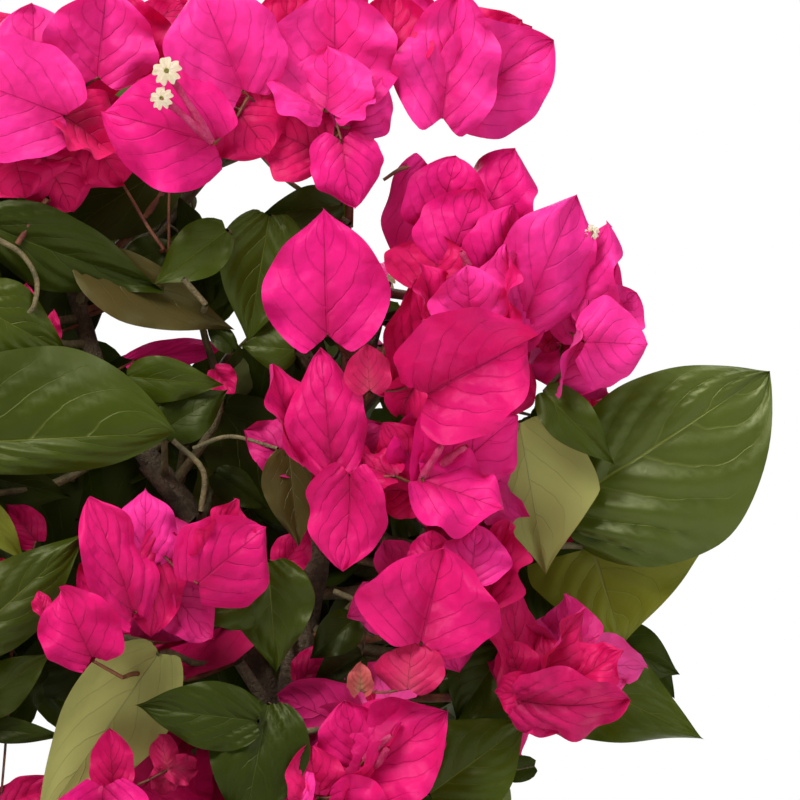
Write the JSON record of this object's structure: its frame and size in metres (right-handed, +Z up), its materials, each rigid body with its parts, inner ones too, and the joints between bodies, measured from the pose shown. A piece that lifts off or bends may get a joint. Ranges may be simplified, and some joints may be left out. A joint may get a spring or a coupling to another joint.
{
  "type": "potted bougainvillea bush",
  "caption": "Bushy flowering climber with broad dark leaves and papery pink bracts on woody stems, in a plain round clay pot.",
  "frame": {"origin": "middle of the pot's flat underside, on the ground", "axes": "+Z up; -Y is the side that faces the viewer; +X to the viewer's right"},
  "size_m": [0.4101, 0.204, 0.6064],
  "materials": {
    "clay": "matte",
    "soil": "matte",
    "bark": "matte",
    "leaf": "satin",
    "bract": "matte"
  },
  "bodies": {
    "root": {"bloom_back_1": "bract", "bloom_back_2": "bract", "bloom_back_3": "bract", "bloom_back_4": "bract", "bloom_centre": "bract", "bloom_centre_right": "bract", "bloom_far_face": "bract", "bloom_far_inner": "bract", "bloom_far_low": "bract", "bloom_far_middle": "bract", "bloom_far_outer": "bract", "bloom_far_shoulder": "bract", "bloom_far_top": "bract", "bloom_foot_left": "bract", "bloom_foot_right": "bract", "bloom_large": "bract", "bloom_left_group": "bract", "bloom_low_left": "bract", "bloom_low_middle": "bract", "bloom_low_right": "bract", "bloom_right_inner": "bract", "bloom_right_outer": "bract", "bloom_right_tip": "bract", "bloom_right_upper": "bract", "bloom_single": "bract", "bloom_top_centre": "bract", "bloom_top_left": "bract", "bloom_top_middle": "bract", "bloom_top_right": "bract", "leaves_back_1": "leaf", "leaves_back_2": "leaf", "leaves_back_3": "leaf", "leaves_back_4": "leaf", "leaves_back_5": "leaf", "leaves_core_low": "leaf", "leaves_core_upper": "leaf", "leaves_far_inner": "leaf", "leaves_far_low": "leaf", "leaves_far_side": "leaf", "leaves_far_top": "leaf", "leaves_left_large": "leaf", "leaves_low_left": "leaf", "leaves_low_middle": "leaf", "leaves_low_right": "leaf", "leaves_middle": "leaf", "leaves_right": "leaf", "leaves_right_low": "leaf", "leaves_skirt_1": "leaf", "leaves_skirt_2": "leaf", "leaves_skirt_3": "leaf", "leaves_skirt_4": "leaf", "leaves_upper_left": "leaf", "leaves_upper_middle": "leaf", "pot": "clay", "soil": "soil", "stem_back": "bark", "stem_left": "bark", "stem_middle": "bark", "stem_right": "bark", "trunk": "bark"}
  },
  "joints": []
}
